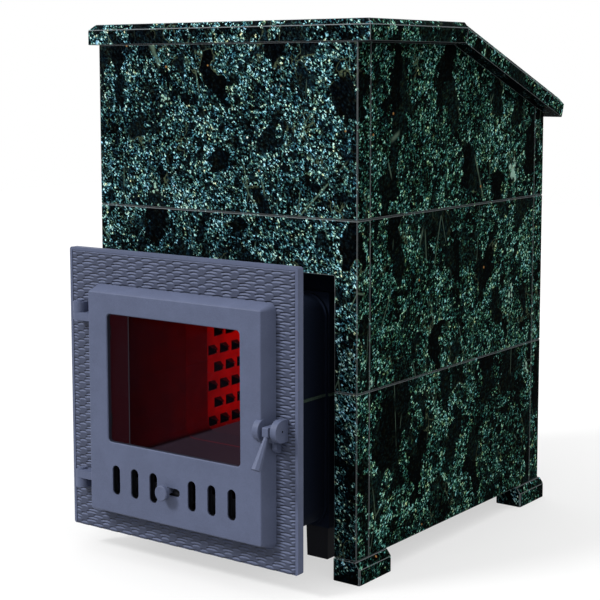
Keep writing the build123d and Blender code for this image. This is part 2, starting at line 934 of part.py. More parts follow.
def steam_shaft():
    """A sheet-steel shaft from the heater up to the slope, cut to the slab's underside."""
    x = shaft_width / 2
    y = shaft_length / 2
    centre = heater_centre_y
    tube = block(-x, x, centre - y, centre + y, heater_flange_top, total_height)
    x -= shaft_wall
    y -= shaft_wall
    tube -= block(-x, x, centre - y, centre + y, heater_flange_top, total_height)
    reach = total_height
    return tube - on_slope(block(-reach, reach, -reach, reach, 0, reach))


# Legs
def leg(side, front):
    """A tapered cast leg under a corner of the firebox."""
    y0 = firebox_front + leg_front_gap if front else firebox_rear - leg_depth
    centre = (side * (leg_inner_x + leg_width / 2), y0 + leg_depth / 2)
    top = (leg_width + leg_taper, leg_depth + leg_taper)
    return frustum(centre, (leg_width, leg_depth), top, 0, firebox_bottom)


# Door
def door_body():
    """The door's outer form: a shallow pan with drafted sides and a softened edge."""
    base = rectangle(door_left, door_right, door_bottom, door_top, door_corner_radius)
    angle = math.degrees(math.atan(door_draft / door_depth))
    solid = extrude(Plane.XZ.offset(-door_back) * base, amount=door_depth, taper=angle)
    face = solid.faces().sort_by(Axis.Y)[0]
    return fillet(face.edges(), door_edge_radius)


def slot_centres():
    """Centres of the air slots across the door, either side of the knob."""
    steps = range(1, slots_each_side + 1)
    return [door_centre_x + side * i * slot_pitch for side in (-1, 1) for i in steps]


def air_slots(y0, y1):
    """The upright air slots, cut from y0 back to y1."""
    cut = []
    for x in slot_centres():
        slot = Pos(x, slot_centre_z) * SlotOverall(slot_height, slot_width, rotation=90)
        cut.append(prism_y(slot, y0, y1))
    return cut


def seal_band(inset):
    """The closed outline half-way over the door's rim, moved inwards by an inset."""
    middle = door_wall / 2 + inset
    radius = door_corner_radius - inset
    return rectangle(
        door_left + middle, door_right - middle, door_bottom + middle, door_top - middle, radius
    )


def clip_places():
    """Places of the bosses and screw heads of the glass clips."""
    middle = (window_bottom + window_top) / 2
    x = glass_half + clip_width - clip_overlap - clip_boss_size / 2 - 1
    return [(side * x, middle + step * clip_spread) for side in (-1, 1) for step in (-1, 1)]


def hinge_arm(z):
    """A hinge arm cast on the door's left side."""
    barrel = rod((hinge_x, hinge_y, z), (0, 0, 1), arm_barrel_radius, arm_height)
    x1 = door_left + door_wall / 2
    arm = block(hinge_x, x1, hinge_y - arm_barrel_radius, hinge_y + arm_barrel_radius, z, z + arm_height)
    hole = rod((hinge_x, hinge_y, z - 1), (0, 0, 1), hinge_pin_radius + pin_clearance, arm_height + 2)
    return barrel + arm - hole


def arm_heights():
    """Undersides of the two hinge arms: over the lower knuckle, under the upper one."""
    return (
        lower_knuckle_bottom + knuckle_height + hinge_gap,
        upper_knuckle_bottom - hinge_gap - arm_height,
    )


def latch_cheeks():
    """Two round cheeks joined by a web, flat towards the plate."""
    cheeks = []
    for x in (cheek_left_x, cheek_right_x):
        disc = rod((x, pivot_y, latch_z), (1, 0, 0), cheek_radius, cheek_thickness)
        cheeks.append(chamfer(disc.edges().filter_by(GeomType.CIRCLE), cheek_bevel))
    x1 = cheek_right_x + 1
    z0 = latch_z - web_height / 2
    web = block(cheek_left_x + 1, x1, door_back - web_thickness, door_back, z0, z0 + web_height)
    clevis = cheeks[0] + cheeks[1] + web
    return clevis - block(0, half_plate, door_back, 0, plate_bottom, plate_top)


def door_casting():
    """The door with its window, air slots, cavity, seal groove, arms and latch cheeks."""
    door = door_body()
    for z in arm_heights():
        door += hinge_arm(z)
    door += latch_cheeks()
    cavity = rectangle(
        door_left + door_wall,
        door_right - door_wall,
        door_bottom + door_wall,
        door_top - door_wall,
        door_cavity_radius,
    )
    door -= prism_y(cavity, inner_face, door_back)
    half = window_width / 2
    window = rectangle(
        door_centre_x - half, door_centre_x + half, window_bottom, window_top, window_radius
    )
    door -= prism_y(window, door_face - 1, inner_face)
    rim = door.edges().filter_by_position(Axis.Y, door_face, door_face)
    rim = [edge for edge in rim if window_bottom - 1 < edge.center().Z < window_top + 1]
    door = chamfer([edge for edge in rim if abs(edge.center().X - door_centre_x) < half + 1], window_bevel)
    door -= air_slots(door_face - 1, inner_face)
    knob_slot = Pos(door_centre_x, slot_centre_z) * SlotOverall(knob_slot_length, knob_slot_height)
    door -= prism_y(knob_slot, door_face - 1, inner_face)
    groove = seal_band(-seal_width / 2) - seal_band(seal_width / 2)
    door -= prism_y(groove, door_back - seal_depth, door_back)
    for x, z in clip_places():
        x0 = door_centre_x + x - clip_boss_size / 2
        z0 = z - clip_boss_size / 2
        door += block(x0, x0 + clip_boss_size, inner_face, glass_back, z0, z0 + clip_boss_size)
    return door - latch_pin_hole()


def door_glass():
    """The ceramic pane behind the window."""
    pane = rectangle(
        door_centre_x - glass_half,
        door_centre_x + glass_half,
        window_bottom - glass_margin,
        window_top + glass_margin,
    )
    return prism_y(pane, glass_front, glass_back)


def glass_tape():
    """The flat sealing tape between the door and the pane."""
    outer = rectangle(
        door_centre_x - glass_half,
        door_centre_x + glass_half,
        window_bottom - glass_margin,
        window_top + glass_margin,
    )
    inset = tape_width
    inner = rectangle(
        door_centre_x - glass_half + inset,
        door_centre_x + glass_half - inset,
        window_bottom - glass_margin + inset,
        window_top + glass_margin - inset,
    )
    return ring(outer, inner, inner_face, glass_front)


def glass_clips():
    """Four flat clips from the door's bosses onto the pane, with their screw heads."""
    clips = []
    for x, z in clip_places():
        side = 1 if x > 0 else -1
        inner = door_centre_x + side * (glass_half - clip_overlap)
        xs = sorted((inner, inner + side * clip_width))
        z0 = z - clip_length / 2
        clip_back = glass_back + clip_thickness
        clip = block(*xs, glass_back, clip_back, z0, z0 + clip_length)
        place = (door_centre_x + x, clip_back, z)
        clips.append(clip + hex_head(place, (0, 1, 0), clip_screw_head, clip_screw_head_height))
    return clips


def door_seal():
    """The rope seal in the door's groove, just clear of the plate."""
    outer = seal_band(-seal_width / 2 + seal_relief)
    inner = seal_band(seal_width / 2 - seal_relief)
    return ring(outer, inner, door_back - seal_depth, door_back + seal_relief)


# Air slider
def guide_ends():
    """Left and right ends of the slider guides."""
    half = door_width / 2 - door_wall - guide_end_margin
    return door_centre_x - half, door_centre_x + half


def slider_guides():
    """Two stepped rails that hold the slider against the door, with their screw heads."""
    x0, x1 = guide_ends()
    lip_y = slider_back + slider_gap
    rail_back = lip_y + guide_lip_thickness
    rails = []
    for edge, out in ((slider_top, 1), (slider_bottom, -1)):
        z0, z1 = sorted((edge + out * slider_gap, edge + out * guide_width))
        rail = block(x0, x1, inner_face, rail_back, z0, z1)
        screw_z = (z0 + z1) / 2
        z0, z1 = sorted((edge - out * guide_lip, edge + out * guide_width))
        rail += block(x0, x1, lip_y, rail_back, z0, z1)
        for x in (x0 + guide_width, door_centre_x, x1 - guide_width):
            rail += hex_head((x, rail_back, screw_z), (0, 1, 0), guide_screw_head, guide_screw_head_height)
        rails.append(rail)
    return rails


def air_slider():
    """The slotted plate behind the door's air slots, with square-ended openings."""
    outermost = slots_each_side * slot_pitch + slot_width / 2
    x0 = door_centre_x - outermost - slider_end_margin
    x1 = door_centre_x + outermost + slider_margin
    plate = block(x0, x1, slider_front, slider_back, slider_bottom, slider_top)
    half = slot_width / 2
    z0 = slot_centre_z - slot_height / 2
    for x in slot_centres():
        plate -= block(x - half, x + half, slider_front, slider_back, z0, z0 + slot_height)
    return plate


def slider_knob():
    """The slider's knob and stem, seated on the slotted plate."""
    knob_back = door_face - knob_reach + knob_thickness
    stem = rod((stem_x, slider_front, slot_centre_z), (0, -1, 0), stem_radius, slider_front - knob_back)
    knob = rod((stem_x, knob_back, slot_centre_z), (0, -1, 0), knob_radius, knob_thickness)
    face = knob.faces().sort_by(Axis.Y)[0]
    return stem + chamfer(face.edges(), knob_bevel)


# Hinge pins and latch
def hinge_pins():
    """The two vertical hinge pins with their heads."""
    pins = []
    lower_arm, upper_arm = arm_heights()
    spans = (
        (lower_knuckle_bottom, lower_arm + arm_height + hinge_gap),
        (upper_arm, upper_knuckle_bottom + knuckle_height),
    )
    for z0, z1 in spans:
        pin = rod((hinge_x, hinge_y, z0), (0, 0, 1), hinge_pin_radius, z1 - z0)
        head = rod((hinge_x, hinge_y, z1), (0, 0, 1), hinge_pin_head_radius, hinge_pin_head_height)
        pins.append(pin + head)
    return pins


def latch_pin_span():
    """Left and right ends of the latch pin."""
    right = cheek_right_x + cheek_thickness
    return cheek_left_x + latch_pin_inset, right - latch_pin_inset


def latch_pin_hole():
    """The cross hole for the latch pin, open at the right cheek."""
    x0, x1 = latch_pin_span()
    length = x1 - x0 + 2 * latch_pin_inset
    return rod((x0, pivot_y, latch_z), (1, 0, 0), latch_pin_radius + pin_clearance, length)


def latch_pin():
    """The cross pin that the latch lever turns on."""
    x0, x1 = latch_pin_span()
    return rod((x0, pivot_y, latch_z), (1, 0, 0), latch_pin_radius, x1 - x0)


def latch_lever():
    """The lever: hub, square head, nose behind it, and an eight-sided tapered grip."""
    middle_x = (lever_left_x + lever_right_x) / 2
    hub = rod((lever_left_x, pivot_y, latch_z), (1, 0, 0), lever_hub_radius, lever_width)
    half = lever_block_height / 2
    front = pivot_y - lever_block_reach
    head = block(lever_left_x, lever_right_x, front, pivot_y, latch_z - half, latch_z + half)
    head = fillet(head.edges().filter_by(Axis.X).sort_by(Axis.Y)[:2], 2)
    nose_back = plate_front - keeper_reach - keeper_gap
    nose = block(
        lever_left_x, lever_right_x, nose_back - nose_thickness, nose_back, latch_z - nose_height, latch_z
    )
    tilt = math.radians(lever_tilt)
    direction = (0, -math.sin(tilt), -math.cos(tilt))
    start = (middle_x, front + lever_neck_size, latch_z - half / 2)
    neck_plane = Plane(origin=start, x_dir=(1, 0, 0), z_dir=direction)
    neck = (lever_neck_size, lever_neck_size)
    tip = (lever_tip_size, lever_tip_size)
    four_sided = frustum((0, 0), neck, tip, 0, lever_length)
    grip = neck_plane.location * (four_sided & Rot(0, 0, 45) * four_sided)
    return hub + head + nose + grip - latch_pin_hole()


def build_nodes():
    """All the nodes by name; a list is one node of several equal solids."""
    duct = duct_casting()
    firebox = firebox_casting()
    nodes = {
        "foot_front_left": stone_foot(-1, True),
        "foot_front_right": stone_foot(1, True),
        "foot_rear_left": stone_foot(-1, False),
        "foot_rear_right": stone_foot(1, False),
        "lower_pillar_left": pillar(-1),
        "lower_pillar_right": pillar(1),
        "lower_slab_left": side_slab(-1, foot_height, lower_joint),
        "lower_slab_right": side_slab(1, foot_height, lower_joint),
        "lower_slab_rear": rear_slab(foot_height, lower_joint),
        "middle_slab_front": lintel_slab(),
        "middle_slab_left": side_slab(-1, lower_joint, upper_joint),
        "middle_slab_right": side_slab(1, lower_joint, upper_joint),
        "middle_slab_rear": rear_slab(lower_joint, upper_joint),
        "upper_slab_front": dressed(
            block(-half_stone, half_stone, 0, slab_thickness, upper_joint, cap_underside)
        ),
        "upper_slab_left": side_slab(-1, upper_joint, cap_underside),
        "upper_slab_right": side_slab(1, upper_joint, cap_underside),
        "upper_slab_rear": rear_slab(upper_joint, cap_underside),
        "corner_angles": corner_angles(),
        "cap_flat": cap_flat(),
        "cap_slope": cap_slope(),
        "hatch_frame": hatch_frame(),
        "hatch_lid": hatch_lid(),
        "hatch_pins": hatch_pins(),
        "hatch_knob": hatch_knob(),
        "frame_plate": frame_plate(),
        "duct_lower": parted(duct, False),
        "duct_upper": parted(duct, True),
        "firebox_lower": parted(firebox, False) + studs(0, stud_lower_rows),
        "firebox_upper": parted(firebox, True) + studs(stud_lower_rows, stud_upper_rows),
        "seam_cord": seam_cord(),
        "hearth_plate": hearth_plate(),
        "grate": grate(),
        "ash_drawer": ash_drawer(),
        "crown_plate": crown(),
        "smoke_baffle": smoke_baffle(),
        "flue_collar": flue_collar(),
        "heater_chamber": heater_chamber(),
        "steam_shaft": steam_shaft(),
        "stove_legs": [leg(side, front) for side in (-1, 1) for front in (True, False)],
        "hinge_pins": hinge_pins(),
        "door_casting": door_casting(),
        "door_glass": door_glass(),
        "glass_tape": glass_tape(),
        "glass_clips": glass_clips(),
        "door_seal": door_seal(),
        "slider_guides": slider_guides(),
        "air_slider": air_slider(),
        "slider_knob": slider_knob(),
        "latch_lever": latch_lever(),
        "latch_pin": latch_pin(),
    }
    return nodes


def as_shape(node):
    """One shape for a node, also where it holds several equal solids."""
    return Compound(children=list(node)) if isinstance(node, list) else node


os.makedirs("parts", exist_ok=True)
shapes = {name: as_shape(node) for name, node in build_nodes().items()}
boxes = [shape.bounding_box() for shape in shapes.values()]
middle_y = (min(box.min.Y for box in boxes) + max(box.max.Y for box in boxes)) / 2
for name, shape in shapes.items():
    export_step(Pos(0, -middle_y, 0) * shape, f"parts/{name}.step")
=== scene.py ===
import math

import bpy
import numpy as np
from mathutils import Matrix, Vector


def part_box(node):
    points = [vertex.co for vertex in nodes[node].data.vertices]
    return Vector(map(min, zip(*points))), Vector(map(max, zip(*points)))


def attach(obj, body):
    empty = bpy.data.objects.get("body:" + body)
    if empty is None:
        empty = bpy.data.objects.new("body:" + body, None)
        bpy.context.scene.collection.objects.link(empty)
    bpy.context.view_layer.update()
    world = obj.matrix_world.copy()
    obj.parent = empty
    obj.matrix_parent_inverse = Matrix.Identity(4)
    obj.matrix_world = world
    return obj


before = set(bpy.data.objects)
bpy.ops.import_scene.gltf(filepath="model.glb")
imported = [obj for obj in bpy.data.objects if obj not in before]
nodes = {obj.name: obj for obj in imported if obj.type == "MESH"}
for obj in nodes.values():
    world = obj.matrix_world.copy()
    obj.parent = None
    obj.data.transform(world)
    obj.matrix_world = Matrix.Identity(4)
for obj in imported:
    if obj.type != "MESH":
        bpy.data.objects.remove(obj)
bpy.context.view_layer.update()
scene = bpy.context.scene

# ---------------------------------------------------------------- sizes, in metres
MM = 0.001

# The plate round the door, and the carved field on it.
PLATE_HALF_WIDTH = 0.273
PLATE_BOTTOM = 0.044
PLATE_TOP = 0.592
RIM_WIDTH = 0.006
DOOR_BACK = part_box("door_casting")[1].y
FIELD_Y = DOOR_BACK + 2.9 * MM
FIELD_GAP = 0.1 * MM
FIELD_STEP_X = 1.5 * MM
FIELD_STEP_Z = 0.8 * MM
CREST = 2.5 * MM
FLOOR_HEIGHT = 0.6 * MM
TILE_WIDTH = 76 * MM
TILE_HEIGHT = 16.4 * MM

# Cut-outs of the carved field: x0, x1, z0, z1.
FIELD_HOLES = [
    (-0.201, 0.221, 0.089, 0.521),  # seat of the door
    (-0.249, -0.221, 0.1265, 0.1465),  # lower hinge block
    (-0.249, -0.221, 0.4705, 0.4905),  # upper hinge block
    (0.2265, 0.2375, 0.2615, 0.2865),  # keeper of the latch
]

# The door, and the openings in it: middle in X, half width, bottom, top, share of painted shade on
# the cut edges.
DOOR_FACE = -0.435034
GLASS_BACK = -0.419
AIR_SLOTS = (0.009, 0.185, 0.105, 0.215, 0.97)
WINDOW = (0.012, 0.163, 0.227, 0.48, 0.8)

# The duct's inner outline and the joint in its floor, and the fire chamber behind the duct.
COLLAR_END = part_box("duct_upper")[0].y
MOUTH_HALF = 0.187
MOUTH_BOTTOM = 0.17
MOUTH_TOP = 0.499
MOUTH_CORNER = 0.028
MOUTH_FRONT = -0.34
MOUTH_JOINT = -0.163
HEARTH_TOP = 0.165
CHAMBER_HALF = 0.1935
CHAMBER_FRONT = -0.092
CHAMBER_REAR = 0.3135
CHAMBER_TOP = 0.759

# The latch's cheeks: the pivot between them, their radius, how far the right one covers the
# solid's disc and reaches back from the pivot, and where each starts and ends in X.
PIVOT_Y = DOOR_FACE + 15 * MM
PIVOT_Z = 0.304
CHEEK_RADIUS = 20 * MM
CHEEK_COVER = 0.05 * MM
CHEEK_BACK = 16.6 * MM
CHEEK_CORNER = 2 * MM
LEFT_CHEEK_Y = DOOR_FACE + 7.6 * MM
LEFT_CHEEK_X = (0.20495, 0.21805)
RIGHT_CHEEK_X = (0.23895, 0.25205)
PIN_HOLE = 1.9 * MM

# Edges: bevels, and the angle from which an edge counts as sharp.
STONE_BEVEL = 1.0 * MM
CHEEK_BEVEL = 0.9 * MM
IRON_BEVELS = {"grey_iron": 0.5 * MM, "dark_iron": 0.8 * MM}
SHARP_ANGLE = math.radians(30)
CHEEK_SHARP_ANGLE = math.radians(40)
WELD_DISTANCE = 1e-6


# ---------------------------------------------------------------- node trees
class Tree:
    """The node tree of a material or a world, with short calls for the nodes used here."""

    def __init__(self, owner, output="ShaderNodeOutputMaterial"):
        owner.use_nodes = True
        self.owner = owner
        self.nodes = owner.node_tree.nodes
        self.links = owner.node_tree.links
        self.nodes.clear()
        self.out = self.nodes.new(output)
        self.coords = self.nodes.new("ShaderNodeTexCoord").outputs

    def node(self, kind, inputs=None, **settings):
        made = self.nodes.new("ShaderNode" + kind)
        for key, value in settings.items():
            setattr(made, key, value)
        for key, value in (inputs or {}).items():
            self.put(made.inputs[key], value)
        return made

    def put(self, socket, value):
        """Links a socket to another, or sets its value, with the alpha of a colour left out."""
        if isinstance(value, bpy.types.NodeSocket):
            self.links.new(value, socket)
        elif isinstance(value, (tuple, list)) and len(value) == 3 and socket.type == "RGBA":
            socket.default_value = (*value, 1)
        else:
            socket.default_value = value

    def moved(self, vector, offset=(0, 0, 0), scale=(1, 1, 1), turn=(0, 0, 0)):
        inputs = {"Vector": vector, "Location": offset, "Scale": scale, "Rotation": turn}
        return self.node("Mapping", inputs).outputs[0]

    def place(self, offset=(0, 0, 0), scale=(1, 1, 1), turn=(0, 0, 0)):
        """The place on the object, in metres."""
        return self.moved(self.coords["Object"], offset, scale, turn)

    def split(self, vector):
        return self.node("SeparateXYZ", {"Vector": vector}).outputs

    def maths(self, operation, a, b=0.0):
        return self.node("Math", {0: a, 1: b}, operation=operation).outputs[0]

    def product(self, first, *others):
        for other in others:
            first = self.maths("MULTIPLY", first, other)
        return first

    def total(self, first, *others):
        for other in others:
            first = self.maths("ADD", first, other)
        return first

    def size(self, value):
        return self.maths("ABSOLUTE", value)

    def centred(self, value, gain):
        """A value from 0 to 1 as a swing about 0."""
        return self.product(self.maths("SUBTRACT", value, 0.5), gain)

    def spread(self, value, low, high, to_low=0.0, to_high=1.0, smooth=True):
        """The value's way from low to high, as a way from to_low to to_high."""
        inputs = {"Value": value, "From Min": low, "From Max": high}
        inputs.update({"To Min": to_low, "To Max": to_high})
        kind = "SMOOTHSTEP" if smooth else "LINEAR"
        return self.node("MapRange", inputs, interpolation_type=kind).outputs[0]

    def past(self, value, limit, soft):
        """0 up to the limit, and 1 from a little past it."""
        return self.spread(value, limit, limit + soft)

    def until(self, value, limit, soft):
        """1 up to the limit, and 0 from a little past it."""
        return self.spread(value, limit, limit + soft, 1, 0)

    def noise(self, vector, scale, detail=2.0, roughness=0.5, distortion=0.0, colour=False):
        inputs = {"Vector": vector, "Scale": scale, "Detail": detail}
        inputs.update({"Roughness": roughness, "Distortion": distortion})
        return self.node("TexNoise", inputs).outputs["Color" if colour else "Fac"]

    def cells(self, vector, scale, feature="F1", output="Distance"):
        inputs = {"Vector": vector, "Scale": scale}
        return self.node("TexVoronoi", inputs, feature=feature).outputs[output]

    def borders(self, vector, scale):
        """Distance to the nearest border of the cells."""
        return self.cells(vector, scale, "DISTANCE_TO_EDGE")

    def lots(self, vector, scale):
        """Three random values, the same all over each cell."""
        return self.split(self.cells(vector, scale, output="Color"))

    def blend(self, share, a, b):
        """Mixes two values."""
        return self.node("Mix", {0: share, 2: a, 3: b}).outputs[0]

    def mix(self, share, a, b, blend="MIX"):
        """Mixes two colours."""
        inputs = {0: share, 6: a, 7: b}
        return self.node("Mix", inputs, data_type="RGBA", blend_type=blend).outputs[2]

    def colour(self, red, green, blue):
        return self.node("CombineColor", {0: red, 1: green, 2: blue}).outputs[0]

    def ramp(self, value, stops):
        made = self.node("ValToRGB", {"Fac": value})
        made.color_ramp.interpolation = "LINEAR"
        for index, (place, colour) in enumerate(stops):
            if index < 2:
                stop = made.color_ramp.elements[index]
                stop.position = place
            else:
                stop = made.color_ramp.elements.new(place)
            stop.color = (*colour, 1)
        return made.outputs[0]

    def bump(self, height, strength, distance):
        inputs = {"Height": height, "Strength": strength, "Distance": distance}
        return self.node("Bump", inputs).outputs[0]

    def surface(self, shader):
        self.links.new(shader.outputs[0], self.out.inputs["Surface"])
        return self.owner

    def principled(self, inputs):
        return self.surface(self.node("BsdfPrincipled", inputs))


def new_tree(name):
    return Tree(bpy.data.materials.new(name))


# ---------------------------------------------------------------- stone
# Stops of the stone's colour, by the logarithm of its brightness.
LIT_FRONT_STOPS = [
    (0.0, (0.0006, 0.0007, 0.0009)),
    (0.17, (0.0018, 0.0023, 0.003)),
    (0.31, (0.0045, 0.0079, 0.0094)),
    (0.45, (0.0104, 0.023, 0.026)),
    (0.6, (0.025, 0.066, 0.0706)),
    (0.76, (0.065, 0.181, 0.184)),
    (0.9, (0.235, 0.5, 0.485)),
    (1.0, (0.7, 0.9, 0.85)),
]
# Painted shade: the sides' stops, a darker and greener copy of the fronts'.
SHADED_SIDE_STOPS = [
    (0.0, (0.0005, 0.0007, 0.0007)),
    (0.17, (0.0016, 0.0022, 0.0021)),
    (0.31, (0.0042, 0.0078, 0.0069)),
    (0.45, (0.0088, 0.0215, 0.0172)),
    (0.6, (0.0175, 0.056, 0.041)),
    (0.76, (0.04, 0.15, 0.105)),
    (0.9, (0.135, 0.42, 0.3)),
    (1.0, (0.55, 0.85, 0.7)),
]
TINT_STOPS = [
    (0.32, (0.66, 0.92, 1.28)),
    (0.5, (0.85, 1.0, 1.03)),
    (0.62, (1.1, 1.04, 0.85)),
    (0.68, (1.6, 1.1, 0.7)),
]
SHORT_VEIN = (0.1, 0.13, 0.075)
LONG_VEIN = (0.14, 0.22, 0.16)
MINT_BLOB = (0.36, 0.58, 0.47)
WHITE_FLECK = (0.7, 0.78, 0.72)
RUST_FLECK = (0.3, 0.15, 0.05)
ARRIS_GREY = (0.16, 0.175, 0.185)
# Painted shade: the colour given to faces that look down.
UNDERSIDE_SHADE = (0.001, 0.0015, 0.0015)

# How many of each there are to a metre.
CRYSTALS = 380
GRAINS = 190
PATCHES = 36
DRIFTS = 8
BIG_CLASTS = 24
SMALL_CLASTS = 60
LONG_VEINS = 8
BLOBS = 8
FLECKS = 26

# The stone's brightness at the middle, and how far each layer swings about it.
MIDDLE_LEVEL = 0.3
CRYSTAL_GAIN = 1.1
GRAIN_GAIN = 2.1
DRIFT_GAIN = 0.85
PATCH_GAIN = 0.45

# Turns that bring the crystals' long axis from X onto the diagonal of the three axes.
HALF_RIGHT = math.pi / 4
DIAGONAL_RISE = 0.6155


def stone(name, offset, arris=False):
    """Polished dark green stone: teal crystals on black, in drifts, with clasts and pale veins."""
    t = new_tree(name)
    place = t.place(offset)

    def bend(vector, scale, amount):
        """Moves a place a little by a smooth noise, so that its cells come out ragged."""
        sway = t.noise(place, scale, 2, colour=True)
        for operation, inputs in (
            ("SUBTRACT", {1: (0.5, 0.5, 0.5)}),
            ("SCALE", {"Scale": amount}),
            ("ADD", {1: vector}),
        ):
            sway = t.node("VectorMath", {0: sway, **inputs}, operation=operation).outputs[0]
        return sway

    def farther(share):
        return [v * share for v in offset]

    # Brightness is a logarithm: crystals, grain, drifts, patches, then clasts without crystals.
    ragged = bend(place, 70, 0.02)
    bent = bend(ragged, 14, 0.09)
    along = t.moved(place, turn=(0, 0, HALF_RIGHT))
    along = t.moved(along, turn=(0, -DIAGONAL_RISE, 0))
    along = t.moved(along, scale=(0.6, 1.1, 1.1))
    crystal = t.lots(bend(along, 400, 0.004), CRYSTALS)[0]
    grain = t.noise(along, GRAINS, 1.5, 0.6, 0.6)
    level = t.total(
        t.centred(crystal, CRYSTAL_GAIN),
        MIDDLE_LEVEL,
        t.centred(grain, GRAIN_GAIN),
        t.centred(t.noise(bent, DRIFTS, 3, 0.6), DRIFT_GAIN),
        t.centred(t.noise(place, PATCHES, 2), PATCH_GAIN),
    )
    clast_place = t.moved(bent, farther(1.3), (1, 1, 0.55), (0.3, 0.25, 0.4))
    big = t.lots(clast_place, BIG_CLASTS)
    small = t.lots(ragged, SMALL_CLASTS)
    big_dark = t.spread(big[0], 0.17, 0.19, 0.85, 0)
    small_dark = t.spread(small[0], 0.18, 0.2, 0.7, 0)
    dark = t.maths("MAXIMUM", big_dark, small_dark)
    calm = t.total(
        t.spread(big[1], 0, 1, 0.05, 0.27),
        t.centred(grain, 0.7),
        t.centred(crystal, 0.12),
    )
    level = t.blend(dark, level, calm)

    # Painted light and shade: the slabs' sides take a darker, greener copy of the colours on their
    # fronts.
    nx, _, nz = t.split(t.coords["Normal"])
    to_shaded_side = t.spread(t.size(nx), 0.5, 0.8)
    colour = t.mix(to_shaded_side, t.ramp(level, LIT_FRONT_STOPS), t.ramp(level, SHADED_SIDE_STOPS))
    tint = t.ramp(t.noise(along, 90, 2, 0.6), TINT_STOPS)
    colour = t.mix(1.0, colour, tint, "MULTIPLY")

    # Pale veins along some clasts' borders, and long thin straight ones.
    border = t.spread(t.borders(clast_place, BIG_CLASTS), 0.0, 0.03, 0.6, 0)
    some = t.spread(t.noise(place, 14, 1), 0.6, 0.66)
    colour = t.mix(t.product(border, some), colour, SHORT_VEIN)
    long_place = t.place(farther(0.7), (1, 1, 0.3), (0.5, 0.6, 0.8))
    long_vein = t.spread(t.borders(long_place, LONG_VEINS), 0.0, 0.007, 0.6, 0)
    other = t.spread(t.noise(place, 12, 1), 0.56, 0.62)
    colour = t.mix(t.product(long_vein, other), colour, LONG_VEIN)

    # Mint blobs, white flecks and rusty flecks.
    blob_place = t.place(farther(1.7), (1, 1, 0.6), (0.2, 0.5, 0.3))
    blob_edge = t.centred(t.noise(place, 110, 3), 0.45)
    blob = t.spread(t.total(t.cells(blob_place, BLOBS), blob_edge), 0.06, 0.1, 0.85, 0)
    chosen = t.spread(t.lots(blob_place, BLOBS)[1], 0.45, 0.46)
    colour = t.mix(t.product(blob, chosen), colour, MINT_BLOB)
    fleck = t.spread(t.cells(place, FLECKS), 0.05, 0.08, 1, 0)
    kind = t.lots(place, FLECKS)
    white = t.spread(kind[0], 0.86, 0.87)
    rust = t.spread(kind[2], 0.9, 0.91)
    colour = t.mix(t.product(fleck, white), colour, WHITE_FLECK)
    colour = t.mix(t.product(fleck, rust), colour, RUST_FLECK)
    if arris:
        colour = t.mix(0.9, colour, ARRIS_GREY)
    # Painted shade: faces that look down go nearly black.
    colour = t.mix(t.spread(nz, -0.9, -0.5, 0.85, 0), colour, UNDERSIDE_SHADE)
    return t.principled({
        "Base Color": colour,
        "Roughness": t.spread(t.noise(place, 60, 3), 0.3, 0.7, 0.28, 0.36),
        "Specular IOR Level": 0.001,
        "Normal": t.bump(grain, 0.05, 0.0004),
    })


# ---------------------------------------------------------------- painted castings
PAINT = (0.087, 0.104, 0.171)
# Inside the plate's collar: painted shade, a painted red glow, and a painted grey-blue highlight at
# the collar's end.
MOUTH_SHADE = (0.012, 0.01, 0.014)
MOUTH_GLOW = (0.016, 0.0016, 0.0026)
COLLAR_GLOW = (0.03, 0.035, 0.045)


def paint_field_shade_and_highlight(t, tone):
    """Paints shade and highlight on the carved field by slope: flat faces darker, faces that look
    up lighter, faces that look down darker still.
    """
    slope = t.split(t.coords["Normal"])[2]
    tone = t.product(tone, t.spread(slope, 0.04, 0.35, 0.58, 1.12))
    return t.product(tone, t.spread(slope, -0.4, -0.04, 0.3, 1))


def paint_shade_in_openings(t, tone):
    """Paints shade on the cut edges of the door's air slots and window."""
    x, y, z = t.split(t.coords["Object"])
    deep = t.spread(y, DOOR_FACE + 1.2 * MM, DOOR_FACE + 4 * MM)
    for middle, half, low, high, share in (AIR_SLOTS, WINDOW):
        wide = t.until(t.size(t.maths("SUBTRACT", x, middle)), half, 1 * MM)
        tall = t.product(t.past(z, low, 1 * MM), t.until(z, high - 1 * MM, 1 * MM))
        cut = t.product(wide, tall, deep, share)
        tone = t.product(tone, t.maths("SUBTRACT", 1, cut))
    return tone


def paint_mouth_glow_and_shade(t, painted):
    """The inside of the plate's collar: painted shade that makes it dark, a faint painted red glow,
    and a painted grey-blue highlight line at its end.
    """
    x, y, z = t.split(t.coords["Object"])
    inside = t.product(
        t.until(t.size(x), MOUTH_HALF, 0.2 * MM),
        t.past(y, GLASS_BACK, 2 * MM),
        t.past(z, MOUTH_BOTTOM, 1 * MM),
        t.until(z, MOUTH_TOP + 2 * MM, 1 * MM),
    )
    end = t.past(y, COLLAR_END - 2.2 * MM, 0.4 * MM)
    return {
        "Base Color": t.mix(inside, painted, MOUTH_SHADE),
        "Emission Color": t.mix(end, MOUTH_GLOW, COLLAR_GLOW),
        "Emission Strength": inside,
    }


